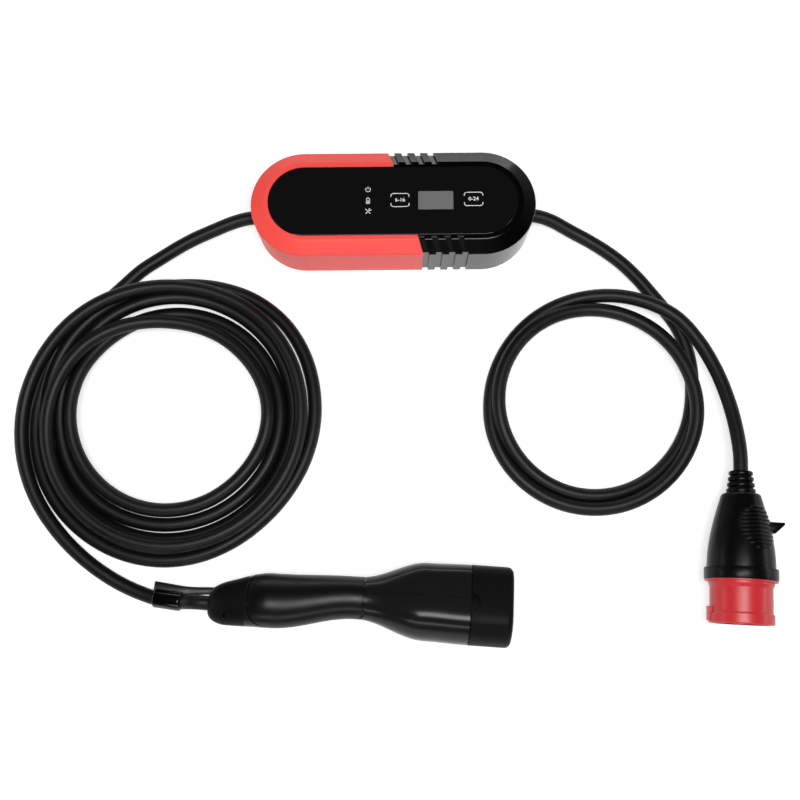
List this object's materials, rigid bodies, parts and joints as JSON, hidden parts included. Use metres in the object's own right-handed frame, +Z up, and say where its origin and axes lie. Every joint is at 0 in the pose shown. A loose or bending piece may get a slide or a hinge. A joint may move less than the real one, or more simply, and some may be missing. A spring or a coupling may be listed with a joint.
{
  "type": "portable ev charger",
  "caption": "Portable electric-car charger: stadium-shaped control box with glossy panel, coiled car cable with capped handle connector, looped supply cable with round industrial plug.",
  "frame": {"origin": "under the middle of the control box, on the floor", "axes": "+X along the box to its supply-cable end, +Y to the box's back, +Z up"},
  "size_m": [0.7283, 0.4795, 0.0698],
  "materials": {
    "red_plastic": "moulded, fine satin",
    "deep_red_plastic": "moulded, satin",
    "black_plastic": "moulded, satin",
    "panel_gloss": "polished",
    "display_grey": "plain, switched off",
    "black_rubber": "matt",
    "cable_jacket": "smooth, satin",
    "board_green": "solder mask",
    "part_black": "moulded",
    "terminal_blue": "moulded",
    "white_insulator": "moulded",
    "lamp_clear": "clear",
    "screw_steel": "zinc plated",
    "contact_metal": "plated"
  },
  "bodies": {
    "charger": {"red_end_cover": "red_plastic", "black_end_cover": "black_plastic", "base_plate": "black_plastic", "base_seal": "black_rubber", "base_screws": "screw_steel", "front_panel": "panel_gloss", "display_screen": "display_grey", "control_board": "board_green", "control_screws": "screw_steel", "status_lamps": "lamp_clear", "touch_springs": "contact_metal", "power_board": "board_green", "board_screws": "screw_steel", "power_relays": "part_black", "leakage_sensor": "terminal_blue", "supply_module": "part_black", "terminal_blocks": "terminal_blue", "left_grommet": "black_rubber", "right_grommet": "black_rubber", "cable_clamps": "black_plastic", "clamp_screws": "screw_steel", "vehicle_cable_lead": "cable_jacket", "vehicle_cable_coil": "cable_jacket", "vehicle_cable_tail": "cable_jacket", "supply_cable_lead": "cable_jacket", "supply_cable_loop": "cable_jacket", "supply_cable_tail": "cable_jacket", "connector_left_shell": "black_plastic", "connector_right_shell": "black_plastic", "connector_grip": "black_rubber", "connector_tail": "black_plastic", "connector_collar": "black_plastic", "contact_carrier": "white_insulator", "power_contacts": "contact_metal", "signal_contacts": "contact_metal", "cap_tether": "black_rubber", "plug_body": "black_plastic", "plug_shroud": "deep_red_plastic", "plug_seal": "black_rubber", "pin_carrier": "white_insulator", "line_pins": "contact_metal", "earth_pin": "contact_metal", "plug_boot": "black_rubber"},
    "cap": {"protective_cap": "black_rubber"}
  },
  "joints": [
    {"name": "cap_pull", "type": "slide", "parent": "charger", "child": "cap", "axis": [0.9969, -0.0785, 0], "range_m": [0, 0.045]}
  ]
}
